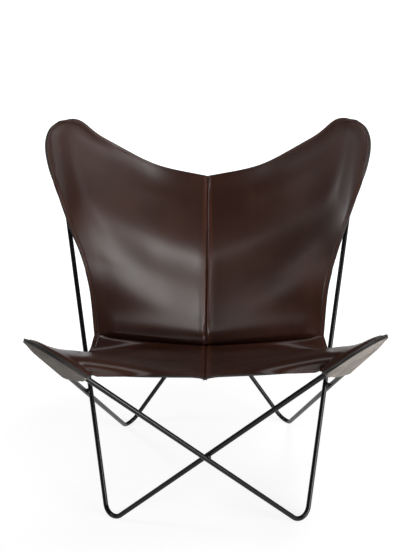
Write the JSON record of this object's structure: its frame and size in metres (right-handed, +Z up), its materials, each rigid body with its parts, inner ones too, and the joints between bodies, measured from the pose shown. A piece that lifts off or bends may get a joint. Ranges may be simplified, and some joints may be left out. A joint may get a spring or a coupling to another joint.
{
  "type": "butterfly sling chair",
  "caption": "Lounge chair with a crossed frame of bent black steel rod and a saddle-leather sling that slips over the rod ears by sewn corner pockets.",
  "frame": {"origin": "on the floor under the middle of the chair's outer box", "axes": "+Z up, the chair faces -Y, +X to the right as seen from the front"},
  "size_m": [0.8514, 0.7962, 0.9076],
  "materials": {
    "frame_paint": "satin black powder coat",
    "weld_paint": "satin black powder coat over a weld bead",
    "grain_leather": "waxed dark brown saddle leather, grain side",
    "flesh_leather": "raw flesh side, matt taupe",
    "thread": "waxed brown thread"
  },
  "bodies": {
    "root": {"diagonal_rod_left": "frame_paint", "diagonal_rod_right": "frame_paint", "upright_rod_left": "frame_paint", "upright_rod_right": "frame_paint", "front_foot_left": "frame_paint", "front_foot_right": "frame_paint", "front_ear_left": "frame_paint", "front_ear_right": "frame_paint", "back_foot_left": "frame_paint", "back_foot_right": "frame_paint", "back_ear_left": "frame_paint", "back_ear_right": "frame_paint", "front_rod_a": "frame_paint", "front_rod_b": "frame_paint", "back_rod_a": "frame_paint", "back_rod_b": "frame_paint", "front_cross_weld": "weld_paint", "back_cross_weld": "weld_paint", "left_cross_weld": "weld_paint", "right_cross_weld": "weld_paint", "sling_panel_left": "grain_leather", "sling_panel_right": "grain_leather", "front_pocket_left": "flesh_leather", "front_pocket_right": "flesh_leather", "back_pocket_left": "flesh_leather", "back_pocket_right": "flesh_leather", "side_strip_left": "flesh_leather", "side_strip_right": "flesh_leather", "seam_thread": "thread", "edge_thread_left": "thread", "edge_thread_right": "thread"}
  },
  "joints": []
}
